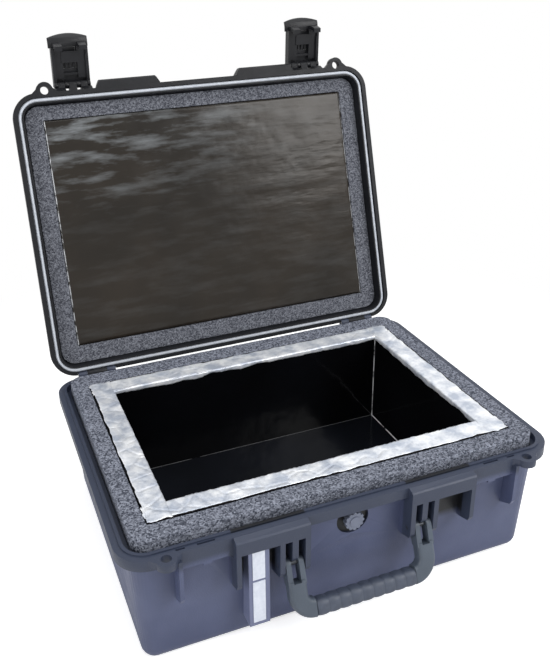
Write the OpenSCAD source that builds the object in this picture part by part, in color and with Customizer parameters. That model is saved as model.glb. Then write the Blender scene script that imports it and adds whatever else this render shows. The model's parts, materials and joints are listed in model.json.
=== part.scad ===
// Specimen transport box: a moulded carrying case with foam and vacuum panels inside.
// Millimetres. X is right, Y is back, Z is up. The origin is the middle of the tub's underside.
// The lid, its latches and what they carry are written shut and are then turned open at the hinge.

/* [Tub] */
// Width of the tub's opening
inner_w = 457; // [420:1:520]
// Depth of the tub's opening, front to back
inner_d = 330; // [300:1:380]
// Height of the parting line above the underside
tub_h = 145; // [135:1:200]
// Thickness of the moulded walls
wall = 4; // [3:0.5:5]
// How far each tub wall leans in from rim to floor
lean = 7; // [3:0.5:10]
// Radius of the foam block's upright corners
foam_r = 16; // [12:1:24]
// Radius of the tub's bottom edges
edge_r = 15; // [8:1:18]

/* [Rim] */
// Distance from the opening to the seal's centre line
seal_out = 7; // [6.5:0.5:10]
// Distance from the seal's centre line to the rim's outer edge
rim_out = 8.5; // [7:0.5:12]
// The same distance at the back, beside the hinge
rim_back_out = 6.6; // [6:0.2:9]
// Thickness of the tub's rim
rim_t = 12; // [10:0.5:16]
// Depth of the trough beside the foam
trough_h = 6; // [4:0.5:8]
// Width of the ridge that the seal closes on
ridge_w = 3.4; // [2.5:0.1:4]
// Height of the ridge above the parting line
ridge_h = 1.7; // [1:0.1:2.5]
// Gap between the shut rims
rim_gap = 0.4; // [0.3:0.1:1]

/* [Insulation] */
// Height of the foam above the parting line
foam_up = 11; // [8:0.5:16]
// Thickness of a vacuum panel
panel_t = 25; // [15:0.5:28]
// Width of the foam at each side of the panels
foam_side = 21.3; // [16:0.1:30]
// Width of the foam in front of the panels
foam_front = 22.9; // [18:0.1:30]
// Width of the foam behind the panels
foam_back = 28.9; // [18:0.1:36]
// Thickness of the foil tape
tape_t = 0.4; // [0.2:0.1:0.8]
// Gap between a piece of insulation and its seat
seat_gap = 0.2; // [0.1:0.1:0.5]
// Gap between the insulation of the shut lid and of the tub
shut_gap = 0.5; // [0.3:0.1:1.5]

/* [Lid] */
// Height of the lid above the parting line
lid_h = 52; // [48:1:70]
// Thickness of the lid's rim
lid_rim_t = 8; // [7:0.5:10]
// Width of the lid's foam at each side of its panel
lid_foam_side = 24.5; // [18:0.5:32]
// Width of the lid's foam at the latches
lid_foam_front = 21; // [18:0.5:28]
// Width of the lid's foam at the hinge
lid_foam_back = 25; // [18:0.5:32]
// Radius of the round seal
seal_r = 2.5; // [2:0.1:2.8]
// Opening angle of the lid
lid_open = 106.7; // [90:0.1:115]

/* [Hinge] */
// Distance from the rim's side to a hinge's middle
hinge_in = 55; // [50:1:80]
// Length of the lid's knuckle
knuckle_w = 25; // [16:1:30]
// Length of each tub knuckle
tub_knuckle_w = 11; // [8:1:14]
// Radius of the knuckles
knuckle_r = 4.7; // [4.4:0.1:5]
// Height of the hinge's axis above the parting line
hinge_up = 3.3; // [3.2:0.1:4]
// Radius of the hinge pins
hinge_pin_r = 2; // [1.5:0.1:2.5]
// Clearance around a turning pin
pin_clear = 0.05; // [0.02:0.01:0.1]

/* [Latches] */
// Distance from the rim's side to a latch's middle
latch_in = 82; // [76:1:90]
// Width of a latch's body
latch_w = 46; // [42:1:52]
// Gap between a latch's body and the handle bracket beside it
latch_gap = 4.5; // [3.5:0.5:8]
// Distance of a latch's pin in front of the rim
latch_fwd = 9.5; // [9:0.5:12]
// Height of a latch's pin above the parting line
latch_up = 25; // [22:1:30]
// Length of a latch below its pin
latch_len = 62; // [58:1:66]
// Angle from a hanging latch to an open one
latch_open = 70; // [50:1:90]
// Radius of the latch pins
latch_pin_r = 1.6; // [1.2:0.1:2]
// Travel of the release button
button_travel = 2.5; // [1:0.5:3]

/* [Handle] */
// Width of each prong of an arm's fork
prong_w = 5.5; // [4.5:0.5:7]
// Width of the slot between the prongs
fork_w = 8.5; // [7:0.5:10]
// Distance from the parting line down to the handle's pins
handle_drop = 50; // [45:1:58]
// Distance from a pin to the bottom of the grip
handle_len = 60; // [56:1:72]
// Angle at which the handle hangs away from the face
handle_tilt = 20; // [5:1:25]
// Height of the grip bar
bar_h = 18; // [16:1:22]
// Thickness of the grip bar
bar_t = 18; // [15:1:20]
// Number of ribs moulded on the soft grip
grip_ribs = 13; // [5:1:17]
// Radius of the handle pins
handle_pin_r = 2.5; // [2:0.1:3]

/* [Bracket] */
// Width of a bracket
bracket_w = 77.5; // [70:0.5:84]
// Distance of a bracket's front in front of the rim
bracket_fwd = 8; // [6:0.5:9]
// Height of a bracket's top plate
plate_h = 15; // [12:0.5:18]
// Distance from the parting line to the foot of a bracket's walls
bracket_drop = 61; // [55:1:75]

/* [Fittings] */
// Distance from a latch's body to the padlock hole beside it
ear_gap = 16; // [14:0.5:20]
// Radius of a padlock ear
ear_r = 10.3; // [9:0.1:12]
// Radius of a padlock hole
lock_r = 5.2; // [3:0.1:6]
// Distance of the padlock holes in front of the rim
ear_fwd = 2.5; // [2:0.5:4]
// Distance from the parting line down to the purge valve's axis
valve_drop = 30; // [27:1:38]
// Radius of the purge knob
knob_r = 10.8; // [10:0.1:13]
// Radius of the recess round the purge knob
recess_r = 18; // [16:0.5:20]
// Number of teeth on the purge knob
knob_teeth = 12; // [8:1:16]
// Width of the label plate
label_w = 22; // [16:1:24]
// Height of the label plate
label_h = 98; // [80:1:100]

/* [Hidden] */
$fn = 64;
hull_fn = 32;

half_w = inner_w / 2;
half_d = inner_d / 2;
seal_x = half_w + seal_out;
seal_y = half_d + seal_out;
seal_corner_r = foam_r + seal_out;
rim_x = seal_x + rim_out;
rim_front = seal_y + rim_out;
rim_back = seal_y + rim_back_out;
rim_r = seal_corner_r + rim_out;
rim_mid = (rim_back - rim_front) / 2;
rim_half = (rim_back + rim_front) / 2;
rim_bottom = tub_h - rim_t;
face_y = half_d + wall;
foam_top = tub_h + foam_up;
lid_top = tub_h + lid_h;
lid_in = seal_out - seal_r - 2;

soft_gap = 0.3;
hinge_x = rim_x - hinge_in;
hinge_y = seal_y + seal_r + knuckle_r + soft_gap;
hinge_z = tub_h + hinge_up;
hinge_relief = knuckle_r + 0.5;
latch_x = rim_x - latch_in;
latch_half = latch_w / 2;
latch_y = rim_front + latch_fwd;
latch_z = tub_h + latch_up;
strike_h = 20;
strike_z = tub_h - strike_h;
pin_y = rim_front + 0.5;
bracket_front = rim_front + bracket_fwd;
bracket_foot = tub_h - bracket_drop;
bracket_plate_z = tub_h - plate_h - 3;
bracket_out = latch_x - latch_half - latch_gap;
bracket_in = bracket_out - bracket_w;
ear_x = latch_x + latch_half + ear_gap;
ear_y = rim_front + ear_fwd;
shoulder = 19;

handle_z = tub_h - handle_drop;
prong_gap = 1;
bracket_wall = 5.5;
end_wall = 5;
prong_in = bracket_in + bracket_wall + prong_gap;
arm_x = prong_in + prong_w + fork_w / 2;
prong_out = arm_x + fork_w / 2 + prong_w;
fork_rib = fork_w - 2 * prong_gap;
rib_x = arm_x - fork_rib / 2;
outer_cheek = prong_out + prong_gap;

pack_x = half_w - foam_side;
pack_front = -half_d + foam_front;
pack_back = half_d - foam_back;
floor_z = wall + seat_gap;
cavity_floor = floor_z + panel_t;
panel_top = foam_top - tape_t;

// Outline of a rectangle with round corners, given by its half sides
module round_rect(hx, hy, r) {
    square([2 * hx, 2 * (hy - r)], center = true);
    square([2 * (hx - r), 2 * hy], center = true);
    for (sx = [-1, 1], sy = [-1, 1])
        translate([sx * (hx - r), sy * (hy - r)])
            circle(r = r);
}

// Slab with round upright corners between two heights
module slab(hx, hy, r, z0, z1, mid = 0) {
    translate([0, mid, z0])
        linear_extrude(z1 - z0)
            round_rect(hx, hy, r);
}

// Slab of the rim's outline
module rim_slab(z0, z1, inset = 0) {
    slab(rim_x - inset, rim_half - inset, rim_r - inset, z0, z1, rim_mid);
}

// Ring that follows the seal's centre line
module seal_ring(w, z0, z1) {
    difference() {
        slab(seal_x + w / 2, seal_y + w / 2, seal_corner_r + w / 2, z0, z1);
        slab(seal_x - w / 2, seal_y - w / 2, seal_corner_r - w / 2, z0 - 1, z1 + 1);
    }
}

// Closed shape that narrows from an open end to a shut end with round edges
module drafted(hx, hy, r, z_open, z_shut, edge, inward) {
    up = sign(z_open - z_shut);
    hull() {
        $fn = hull_fn;
        translate([0, 0, z_open - up / 2])
            linear_extrude(1, center = true)
                round_rect(hx, hy, r);
        for (sx = [-1, 1], sy = [-1, 1])
            translate([sx * (hx - inward - edge), sy * (hy - inward - edge), z_shut + up * edge])
                sphere(r = edge);
        translate([0, 0, z_shut + up * 0.05])
            cube([2 * (hx - inward - edge), 2 * (hy - inward - edge), 0.1], center = true);
    }
}

// Plate in the YZ plane between two X places, from an outline of [forward, height] points
module side_plate(x0, x1, points) {
    translate([x0, 0, 0])
        rotate([90, 0, 90])
            linear_extrude(x1 - x0)
                polygon([for (p = points) [-p[0], p[1]]]);
}

// Round bar along X between two X places
module x_bar(x0, x1, r) {
    translate([x0, 0, 0])
        rotate([0, 90, 0])
            cylinder(r = r, h = x1 - x0);
}

// Copies for the left and the right of the case
module both_sides() {
    children();
    mirror([1, 0, 0])
        children();
}

// Everything on the shut lid turned to its open place
module opened() {
    translate([0, hinge_y, hinge_z])
        rotate([-lid_open, 0, 0])
            translate([0, -hinge_y, -hinge_z])
                children();
}

// How far the tub's outer wall stands forward at a height
function wall_y(z) = face_y - lean * (rim_bottom - z) / (rim_bottom - edge_r);

// Padlock ear with its shoulders, before its hole is cut
module ear(z0, z1) {
    translate([ear_x, -ear_y, z0])
        cylinder(r = ear_r, h = z1 - z0);
    translate([ear_x, -rim_front, z0])
        linear_extrude(z1 - z0)
            polygon([
                [-shoulder, 3], [-ear_r + 1.8, -ear_fwd - 4], [ear_r - 1.8, -ear_fwd - 4],
                [shoulder, 3], [ear_r, 15], [-ear_r, 15]
            ]);
}

module lock_hole(z0, z1) {
    translate([ear_x, -ear_y, z0 - 1])
        cylinder(r = lock_r, h = z1 - z0 + 2);
}

// Gusset that carries a padlock ear on the tub
module ear_gusset() {
    foot = rim_bottom - gusset_h;
    side_plate(latch_x + latch_half + 1.5, latch_x + latch_half + 5.5, [
        [face_y - lean, rim_bottom + 5], [ear_y + 3, rim_bottom + 5], [ear_y + 2, foot + 6],
        [ear_y - 1, foot], [wall_y(foot - 8) - 1, foot - 8]
    ]);
}

// Band that a latch hooks under, with a small tab at its middle and a rounded corner at the bracket
module strike() {
    x0 = bracket_out - 2;
    x1 = ear_x - ear_r + 4;
    blend_r = latch_gap + hook_edge - 0.5;
    translate([latch_x - 6, -rim_front + 0.6, strike_z - 3])
        cube([9, rim_front - face_y + lean - 0.6, 4]);
    translate([x0, -rim_front, strike_z])
        cube([x1 - x0, rim_front - face_y + lean, strike_h - rim_t + 1]);
    translate([bracket_out, -rim_front, strike_z - blend_r])
        rotate([-90, 0, 0])
            linear_extrude(rim_front - face_y + lean)
                difference() {
                    translate([-1, -blend_r - 1])
                        square(blend_r + 1);
                    translate([blend_r, 0])
                        circle(r = blend_r);
                }
}

// Wall of a handle bracket
module bracket_cheek(x0, x1, foot) {
    side_plate(x0, x1, [
        [face_y - lean, bracket_plate_z + 2], [bracket_front, bracket_plate_z + 2],
        [bracket_front - 0.5, foot + 6], [bracket_front - 3, foot + 1],
        [face_y + 2, foot - 4], [face_y - lean, foot - 5]
    ]);
}

module bracket() {
    side_plate(bracket_in, bracket_out, [
        [face_y - lean, tub_h], [rim_front - 1, tub_h], [bracket_front - 1.5, tub_h - 2],
        [bracket_front, tub_h - 3.5], [bracket_front, bracket_plate_z], [face_y - lean, bracket_plate_z]
    ]);
    bracket_cheek(bracket_in, bracket_in + bracket_wall, bracket_foot);
    bracket_cheek(rib_x, rib_x + fork_rib, handle_z + 5);
    bracket_cheek(outer_cheek, outer_cheek + bracket_wall, bracket_foot);
    bracket_cheek(bracket_out - end_wall, bracket_out, bracket_foot);
}

// Knuckle of the tub with the lug that carries it
module tub_knuckle(x0) {
    translate([0, hinge_y, hinge_z])
        x_bar(x0, x0 + tub_knuckle_w, knuckle_r);
    translate([x0, hinge_y - 8, rim_bottom + 2])
        cube([tub_knuckle_w, 7.4 + knuckle_r, rim_t - 3]);
    translate([x0, hinge_y - 3, tub_h - 2])
        cube([tub_knuckle_w, 2.4 + knuckle_r, hinge_up + 2]);
}

lid_knuckle_in = hinge_x - knuckle_w / 2;
lid_knuckle_out = hinge_x + knuckle_w / 2;
knuckle_gap = 0.5;
tub_knuckle_in = lid_knuckle_in - knuckle_gap - tub_knuckle_w;
tub_knuckle_out = lid_knuckle_out + knuckle_gap;

gusset_h = 47;
hook_edge = 3;
valve_z = tub_h - valve_drop;
recess_top = knob_r + 1.2;
boss_r = recess_r + 2.5;
boss_floor = 3;
valve_seat_y = face_y - wall - 0.5;
valve_tube_r = 6.5;
valve_bore_r = valve_tube_r + 0.3;

module tub() {
    color("#6b7089")
    difference() {
        union() {
            difference() {
                union() {
                    drafted(half_w + wall, half_d + wall, foam_r + wall, tub_h - 2, 0, edge_r, lean);
                    rim_slab(rim_bottom, tub_h);
                    seal_ring(ridge_w, rim_bottom, tub_h + ridge_h);
                    both_sides() {
                        ear(rim_bottom + 4, tub_h);
                        ear_gusset();
                        strike();
                        bracket();
                        tub_knuckle(tub_knuckle_in);
                        tub_knuckle(tub_knuckle_out);
                    }
                }
                drafted(half_w, half_d, foam_r, tub_h - 2, wall, edge_r - wall, lean);
                slab(half_w, half_d, foam_r, tub_h - rim_t - 2, foam_top);
                slab(seal_x - ridge_w / 2, seal_y - ridge_w / 2, seal_corner_r - ridge_w / 2,
                     tub_h - trough_h, foam_top);
            }
            // Boss inside the wall, behind the valve's recess
            translate([0, -valve_seat_y - 2, valve_z])
                rotate([-90, 0, 0])
                    cylinder(r = boss_r, h = boss_floor + 2);
        }
        both_sides() {
            lock_hole(rim_bottom, tub_h);
            translate([0, hinge_y, hinge_z]) {
                x_bar(lid_knuckle_in - knuckle_gap, lid_knuckle_out + knuckle_gap, hinge_relief);
                x_bar(tub_knuckle_in - 1, tub_knuckle_out + tub_knuckle_w + 1, hinge_pin_r);
            }
            translate([0, -pin_y, handle_z])
                x_bar(bracket_in - 1, outer_cheek + bracket_wall + 1, handle_pin_r);
            // Notches in the top of the rim, beside the latch
            for (x = [latch_x - 11, latch_x + 19])
                translate([x, -seal_y - ridge_w / 2 - 3.2, tub_h - 2.5])
                    cube([x > latch_x ? 9 : 18, 2.2, 3]);
        }
        // Recess of the purge valve, round below and flat above, and the bore in its floor
        translate([0, -valve_seat_y, valve_z])
            rotate([90, 0, 0]) {
                intersection() {
                    cylinder(r = recess_r, h = 12);
                    translate([-recess_r - 1, -recess_r - 1, -1])
                        cube([2 * recess_r + 2, recess_r + 1 + recess_top, 14]);
                }
                translate([0, 0, -boss_floor - 1])
                    cylinder(r = valve_bore_r, h = boss_floor + 2);
            }
    }
}

// Foam block: a ring between the tub's walls and the panels, standing above the rim
module tub_foam() {
    color("#84868f")
    difference() {
        union() {
            drafted(half_w - seat_gap, half_d - seat_gap, foam_r, tub_h - 2, floor_z, edge_r - wall, lean);
            slab(half_w - seat_gap, half_d - seat_gap, foam_r, tub_h - rim_t, foam_top);
        }
        translate([-pack_x - seat_gap, pack_front - seat_gap, 0])
            cube([2 * (pack_x + seat_gap), pack_back - pack_front + 2 * seat_gap, foam_top + 1]);
        translate([0, -half_d - 1, valve_z])
            rotate([-90, 0, 0])
                cylinder(r = boss_r + 1, h = half_d + 1 - valve_tube_back + 3);
    }
}

// Flat panel between two corners
module panel(x0, x1, y0, y1, z0, z1) {
    color("#141416")
    translate([x0, y0, z0])
        cube([x1 - x0, y1 - y0, z1 - z0]);
}

joint_gap = 0.1;

module floor_panel() {
    panel(-pack_x, pack_x, pack_front, pack_back, floor_z, cavity_floor);
}

module front_panel() {
    panel(-pack_x, pack_x, pack_front, pack_front + panel_t, cavity_floor + joint_gap, panel_top);
}

module back_panel() {
    panel(-pack_x, pack_x, pack_back - panel_t, pack_back, cavity_floor + joint_gap, panel_top);
}

module side_panel(x0) {
    panel(x0, x0 + panel_t, pack_front + panel_t + joint_gap, pack_back - panel_t - joint_gap,
          cavity_floor + joint_gap, panel_top);
}

module left_panel() {
    side_panel(-pack_x);
}

module right_panel() {
    side_panel(pack_x - panel_t);
}

// Strip of foil tape over the top of a panel
module tape(x0, x1, y0, y1) {
    color("#d4d6da")
    translate([x0, y0, panel_top])
        cube([x1 - x0, y1 - y0, tape_t]);
}

module front_tape() {
    tape(-pack_x, pack_x, pack_front, pack_front + panel_t);
}

module back_tape() {
    tape(-pack_x, pack_x, pack_back - panel_t, pack_back);
}

module left_tape() {
    tape(-pack_x, -pack_x + panel_t, pack_front + panel_t, pack_back - panel_t);
}

module right_tape() {
    tape(pack_x - panel_t, pack_x, pack_front + panel_t, pack_back - panel_t);
}

valve_flange_t = 2;
valve_flange_r = valve_tube_r + 3;
valve_tube_back = half_d - 9;
knob_t = 6;
nut_t = 3.5;

// Axis of the purge valve: local Z runs into the case from the boss's seat
module at_valve() {
    translate([0, -valve_seat_y, valve_z])
        rotate([-90, 0, 0])
            children();
}

module valve_body() {
    color("#2b2c30")
    at_valve()
        difference() {
            union() {
                translate([0, 0, -valve_flange_t])
                    cylinder(r = valve_flange_r, h = valve_flange_t);
                translate([0, 0, -valve_flange_t - knob_t + 1])
                    cylinder(r = 3, h = knob_t);
                cylinder(r = valve_tube_r, h = valve_seat_y - valve_tube_back);
            }
            translate([0, 0, 4])
                cylinder(r = 4.5, h = 30);
            for (i = [0:3])
                rotate(i * 90)
                    translate([3.6, 0, -valve_flange_t - 1])
                        cylinder(r = 0.8, h = 8);
            translate([0, 0, -1.1])
                difference() {
                    cylinder(r = 9, h = 3);
                    cylinder(r = 7.4, h = 3);
                    translate([0, 0, 1.1])
                        cylinder(r = valve_tube_r, h = 3);
                }
        }
}

module valve_seal() {
    color("#17181a")
    at_valve()
        translate([0, 0, -0.55])
            rotate_extrude()
                translate([8.2, 0])
                    circle(r = 0.5);
}

module valve_nut() {
    color("#2b2c30")
    at_valve()
        translate([0, 0, boss_floor + seat_gap])
            difference() {
                cylinder(r = knob_r - 0.5, h = nut_t, $fn = 6);
                translate([0, 0, -1])
                    cylinder(r = valve_tube_r + pin_clear, h = nut_t + 2);
            }
}

module valve_membrane() {
    color("#e8e8e4")
    at_valve()
        translate([0, 0, 4.2])
            cylinder(r = 4.3, h = 0.8);
}

module valve_knob() {
    color("#232428")
    at_valve()
        translate([0, 0, -valve_flange_t - knob_t - 0.3])
            difference() {
                union() {
                    cylinder(r = knob_r - 1.5, h = knob_t);
                    translate([0, 0, -1])
                        cylinder(r = knob_r - 5, h = 2);
                    for (i = [0:knob_teeth - 1])
                        rotate(i * 360 / knob_teeth)
                            translate([knob_r - 1.8, 0, 0])
                                cylinder(r = 1.8, h = knob_t);
                }
                translate([0, 0, 1.2])
                    cylinder(r = 3 + pin_clear, h = knob_t);
            }
}

label_x = -(outer_cheek + bracket_wall + bracket_out - end_wall + label_w) / 2;
label_top = bracket_plate_z - seat_gap;
label_bottom = label_top - label_h;
label_front = bracket_front - 6.5;
label_plate_t = 3;

module label_plate() {
    color("#717694")
    {
        translate([label_x, -label_front, label_bottom])
            cube([label_w, label_plate_t, label_h]);
        for (x = [label_x, label_x + label_w - 2.5])
            side_plate(x, x + 2.5, [
                [label_front, label_top], [label_front, label_bottom],
                [wall_y(label_bottom) + seat_gap, label_bottom], [wall_y(label_top) + seat_gap, label_top]
            ]);
    }
}

// Blank card on the label plate, between two heights
module label_card(z0, z1) {
    color("#f1f1f3")
    translate([label_x + 4, -label_front - 0.8, z0])
        cube([label_w - 9, 0.8, z1 - z0]);
}

module upper_label_card() {
    label_card(label_top - 39, label_top - 1);
}

module lower_label_card() {
    label_card(label_bottom + 5, label_top - 42);
}

// The handle hangs from its pins: local Z runs down the arms and local Y points into the case
module at_handle() {
    translate([0, -pin_y, handle_z])
        rotate([-handle_tilt, 0, 0])
            mirror([0, 0, 1])
                children();
}

arm_t = 14;
arm_w = prong_out - prong_in;
fork_len = 20;
bar_mid = handle_len - bar_h / 2;
corner_r = 26;
edge_blend = 4;
grip_half = prong_in - 7;
grip_t = 2;
core_t = bar_t - 2 * (grip_t + 1);
core_h = bar_h - 2 * (grip_t + 1);

module handle_frame() {
    bend_x = prong_out - corner_r;
    color("#565f66")
    at_handle()
        difference() {
            union() {
                both_sides() {
                    // Prongs of the fork, with round tops at the pin
                    translate([prong_in, -arm_t / 2 + 1, 0])
                        cube([arm_w, arm_t - 2, fork_len + 2]);
                    x_bar(prong_in, prong_out, arm_t / 2 - 1);
                    // Arm, and the bend from the arm to the grip bar
                    translate([prong_in + arm_w / 2, 0, fork_len - 2])
                        linear_extrude(handle_len - corner_r - fork_len + 2)
                            round_rect(arm_w / 2, arm_t / 2, edge_blend);
                    translate([bend_x, 0, handle_len - corner_r])
                        rotate([90, 0, 0])
                            rotate_extrude(angle = 90)
                                translate([corner_r - arm_w / 2, 0])
                                    round_rect(arm_w / 2, arm_t / 2, edge_blend);
                }
                // Core of the grip bar
                translate([-bend_x - 0.5, 0, handle_len - arm_w / 2])
                    rotate([90, 0, 90])
                        linear_extrude(2 * bend_x + 1)
                            round_rect(arm_t / 2 - 1, arm_w / 2 - 1, edge_blend);
            }
            // Slot of each fork, and the bore of its pin
            both_sides() {
                translate([arm_x - fork_w / 2, -arm_t, -arm_t])
                    cube([fork_w, 2 * arm_t, arm_t + fork_len]);
                x_bar(prong_in - 1, prong_out + 1, handle_pin_r + pin_clear);
            }
            // Seat of the soft grip
            translate([-grip_half, -bar_t / 2 - 1, handle_len - arm_w - 1])
                difference() {
                    cube([2 * grip_half, bar_t + 2, arm_w + 2]);
                    translate([-1, 1 + grip_t + 1, bar_mid - handle_len + arm_w + 1 - core_h / 2])
                        cube([2 * grip_half + 2, core_t, core_h]);
                }
        }
}

module handle_grip() {
    rib_pitch = 2 * (grip_half - 4) / grip_ribs;
    gap = 0.05;
    color("#4d555b")
    at_handle()
        difference() {
            translate([-grip_half + gap, 0, bar_mid])
                rotate([90, 0, 90])
                    linear_extrude(2 * (grip_half - gap))
                        round_rect(bar_t / 2, bar_h / 2, 6);
            translate([-grip_half - 1, -core_t / 2 - gap, bar_mid - core_h / 2 - gap])
                cube([2 * grip_half + 2, core_t + 2 * gap, core_h + 2 * gap]);
            for (i = [0:grip_ribs])
                translate([-grip_half + 4 + i * rib_pitch - 0.6, -bar_t, handle_len - bar_h - 1])
                    cube([1.2, 2 * bar_t, 2.4]);
        }
}

module handle_pins() {
    color("#8f9296")
    both_sides()
        translate([0, -pin_y, handle_z])
            x_bar(bracket_in + 0.5, outer_cheek + bracket_wall - 0.5, handle_pin_r);
}

module hinge_pins() {
    color("#8f9296")
    both_sides()
        translate([0, hinge_y, hinge_z])
            x_bar(tub_knuckle_in + 0.5, tub_knuckle_out + tub_knuckle_w - 0.5, hinge_pin_r);
}

lid_rim_z = tub_h + rim_gap;
lid_rim_top = lid_rim_z + lid_rim_t;
seal_face = tub_h + ridge_h + 0.4;
cheek_t = 3.8;
lug_mid = 4.7;
lug_out = latch_half - cheek_t - 0.6;
lug_in = lug_out - 8.3;
lug_r = 4.6;
latch_bore_r = latch_pin_r + pin_clear;

// Lug on the lid's front that carries a latch pin
module latch_lug(x0, x1) {
    root = seal_y - 3;
    translate([0, -latch_y, latch_z])
        x_bar(x0, x1, lug_r);
    side_plate(x0, x1, [
        [root, latch_z - 10], [rim_front - 2, latch_z - 8], [latch_y, latch_z - lug_r],
        [latch_y, latch_z + lug_r], [root, latch_z + 9]
    ]);
}

// Sill under the outer part of a latch's pin
module latch_sill(x0, x1) {
    side_plate(x0, x1, [
        [seal_y - 3, lid_rim_top - 1], [rim_front - 0.5, lid_rim_top - 1], [latch_y - 4, latch_z - lug_r - 4],
        [latch_y - 4, latch_z - lug_r - 0.8], [seal_y - 3, latch_z - lug_r - 0.8]
    ]);
}

// Raised block on the lid's front, above a handle bracket
module front_block() {
    x0 = bracket_in - 4;
    x1 = bracket_out + 1;
    intersection() {
        side_plate(x0, x1, [
            [seal_y - 3, lid_rim_z + 17], [rim_front + 6, lid_rim_z + 14], [bracket_front + 2, lid_rim_z + 10],
            [bracket_front + 2, lid_rim_z + 3], [bracket_front, lid_rim_z + 0.5], [seal_y - 3, lid_rim_z + 0.5]
        ]);
        translate([0, 0, tub_h])
            linear_extrude(lid_h)
                polygon([
                    [x0, -seal_y], [x0, -rim_front - 1], [x0 + 6, -bracket_front - 3],
                    [x1 - 4, -bracket_front - 3], [x1, -rim_front - 1], [x1, -seal_y]
                ]);
    }
}

// Knuckle of the lid with the lug that carries it
module lid_knuckle() {
    translate([0, hinge_y, hinge_z])
        x_bar(lid_knuckle_in, lid_knuckle_out, knuckle_r);
    translate([lid_knuckle_in, hinge_y - 8, hinge_z])
        cube([knuckle_w, 7.4 + knuckle_r, 9]);
}

module lid_shell() {
    lid_lean = 6;
    wall_half_w = half_w + lid_in + wall;
    wall_half_d = half_d + lid_in + wall;
    color("#3f4248")
    opened()
        difference() {
            union() {
                drafted(wall_half_w, wall_half_d, foam_r + lid_in + wall, lid_rim_z + 3, lid_top, 16, lid_lean);
                rim_slab(lid_rim_z, lid_rim_top);
                both_sides() {
                    ear(lid_rim_z, lid_rim_top);
                    front_block();
                    lid_knuckle();
                    translate([latch_x, 0, 0]) {
                        latch_lug(-lug_mid, lug_mid);
                        latch_lug(-lug_out, -lug_in);
                        latch_lug(lug_in, lug_out);
                        latch_sill(-latch_half, -lug_in - 0.5);
                        latch_sill(lug_in + 0.5, latch_half);
                    }
                }
            }
            drafted(half_w + lid_in, half_d + lid_in, foam_r + lid_in, lid_rim_z + 3, lid_top - wall,
                    16 - wall, lid_lean);
            slab(half_w + lid_in, half_d + lid_in, foam_r + lid_in, tub_h - 1, lid_rim_z + 3.5);
            seal_ring(2 * seal_r + 0.6, tub_h - 1, seal_face + 2 * seal_r + 0.2);
            both_sides() {
                lock_hole(lid_rim_z, lid_rim_top);
                translate([0, hinge_y, hinge_z]) {
                    x_bar(tub_knuckle_in - 1, lid_knuckle_in, hinge_relief);
                    x_bar(lid_knuckle_out, tub_knuckle_out + tub_knuckle_w + 1, hinge_relief);
                    x_bar(lid_knuckle_in - 1, lid_knuckle_out + 1, hinge_pin_r + pin_clear);
                }
                translate([latch_x, -latch_y, latch_z])
                    x_bar(-lug_out - 1, lug_out + 1, latch_pin_r);
            }
        }
}

// Round seal in the lid's channel
module lid_seal() {
    straight_x = seal_x - seal_corner_r;
    straight_y = seal_y - seal_corner_r;
    color("#c9cbd0")
    opened()
        translate([0, 0, seal_face + seal_r])
            for (turn = [0, 180])
                rotate(turn) {
                    translate([0, seal_y, 0])
                        x_bar(-straight_x, straight_x, seal_r);
                    translate([seal_x, straight_y, 0])
                        rotate([90, 0, 0])
                            cylinder(r = seal_r, h = 2 * straight_y);
                    for (m = [0, 1])
                        mirror([m, 0, 0])
                            translate([straight_x, straight_y, 0])
                                rotate_extrude(angle = 90)
                                    translate([seal_corner_r, 0])
                                        circle(r = seal_r);
                }
}

lid_face = foam_top + shut_gap;
lid_panel_x = half_w + lid_in - lid_foam_side;
lid_panel_front = -half_d - lid_in + lid_foam_front;
lid_panel_back = half_d + lid_in - lid_foam_back;

module lid_foam() {
    side = seat_gap + 0.1;
    color("#5d616b")
    opened()
        difference() {
            intersection() {
                drafted(half_w + lid_in - side, half_d + lid_in - side, foam_r + lid_in,
                        lid_rim_z + 3, lid_top - wall - seat_gap, 16 - wall, 6);
                slab(rim_x, rim_front, rim_r, lid_face, lid_top);
            }
            translate([-lid_panel_x - seat_gap, lid_panel_front - seat_gap, lid_face - 1])
                cube([2 * (lid_panel_x + seat_gap), lid_panel_back - lid_panel_front + 2 * seat_gap,
                      panel_t + seat_gap + 1]);
        }
}

module lid_panel() {
    color("#3a3732")
    opened()
        translate([-lid_panel_x, lid_panel_front, lid_face])
            cube([2 * lid_panel_x, lid_panel_back - lid_panel_front, panel_t]);
}

// The open latch on the open lid: local Z runs up from the shut latch, local Y into the case
module at_latch(side) {
    opened()
        translate([side * latch_x, -latch_y, latch_z])
            rotate([-latch_open, 0, 0])
                children();
}

latch_back = 9;
latch_skin = 2.6;
tray_end = -latch_len + 14;
lip_r = 18;
lip_half = latch_half + 2;
lip_bow = 4;
bow_r = (lip_half * lip_half + lip_bow * lip_bow) / (2 * lip_bow);
button_proud = 0.4;
button_half = 8;
button_bottom = tray_end + 2;
button_top = button_bottom + 26;
hook_out = latch_half - hook_edge;
hook_in = hook_out - 9.5;
hook_mid = (hook_in + hook_out) / 2;
hook_r = latch_z - strike_z + 3;
knuckle_mid = (lug_mid + lug_in) / 2;
knuckle_half = (lug_in - lug_mid) / 2 - 0.4;
bar_y = -1.8;
leaf_z = button_bottom + 5;
leaf_y = -latch_back - button_proud + latch_skin + button_travel + 0.3;

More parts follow.
